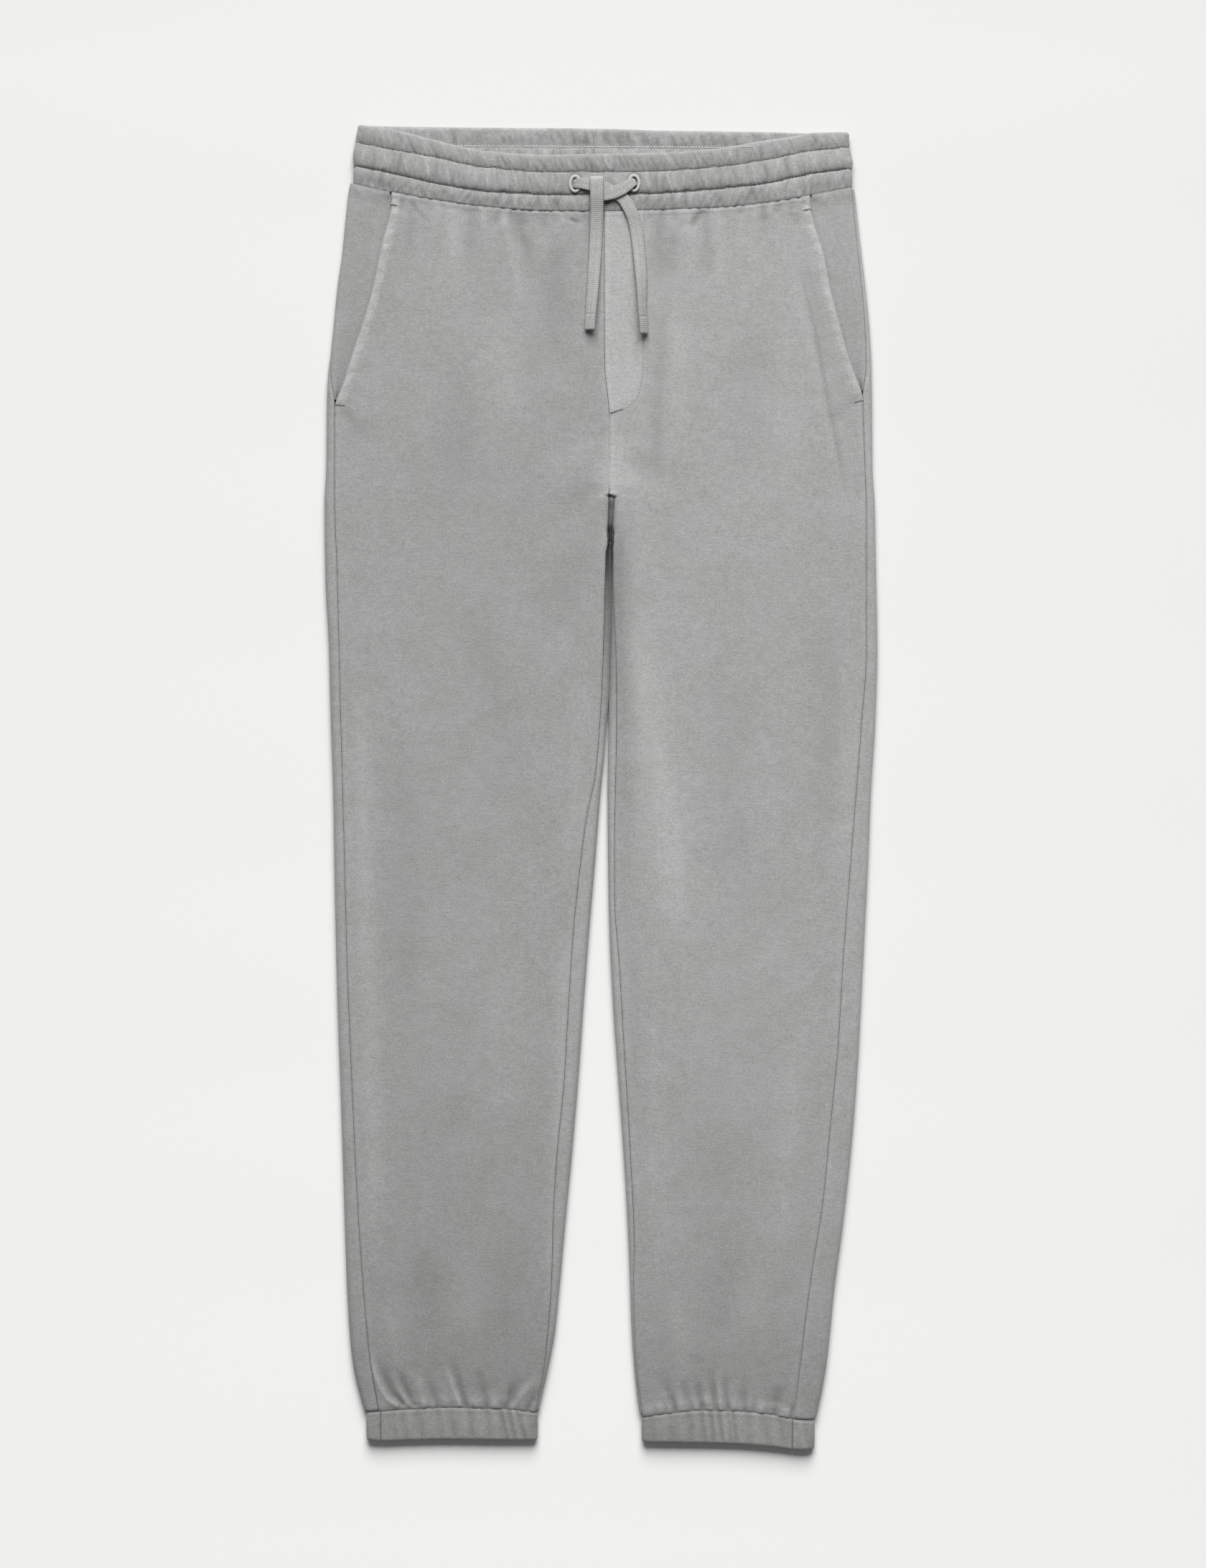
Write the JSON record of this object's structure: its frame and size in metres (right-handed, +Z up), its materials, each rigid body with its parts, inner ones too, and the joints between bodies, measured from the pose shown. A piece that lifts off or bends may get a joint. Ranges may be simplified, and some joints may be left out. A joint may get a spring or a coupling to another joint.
{
  "type": "jogger sweatpants",
  "caption": "Jogger sweatpants in soft brushed fleece, laid flat face up, with an elastic waistband, a knotted flat drawcord, slanted pockets and gathered ankle cuffs.",
  "frame": {"origin": "on the surface that the garment lies on, below the middle of its outline", "axes": "+Y towards the waist, +X towards the wearer's left leg, +Z up from the surface, out of the front of the garment"},
  "size_m": [0.4318, 1.034, 0.0186],
  "materials": {
    "fleece": "light grey garment-dyed brushed fleece, matt, with a fine nap",
    "pocket_facing": "the same fleece inside the pocket opening",
    "waistband": "the same fleece, gathered over elastic, with two stitched rows",
    "cuff": "the same fleece, folded and gathered over elastic",
    "eyelet": "close satin stitching in light grey thread",
    "drawcord": "flat braided cotton cord, light grey, matt"
  },
  "bodies": {
    "root": {"front_right": "fleece", "front_left": "fleece", "back_right": "fleece", "back_left": "fleece", "pocket_facing_right": "pocket_facing", "pocket_facing_left": "pocket_facing", "waistband": "waistband", "cuff_right": "cuff", "cuff_left": "cuff", "eyelet_right": "eyelet", "eyelet_left": "eyelet", "drawcord_knot": "drawcord", "drawcord_end_right": "drawcord", "drawcord_end_left": "drawcord"}
  },
  "joints": []
}
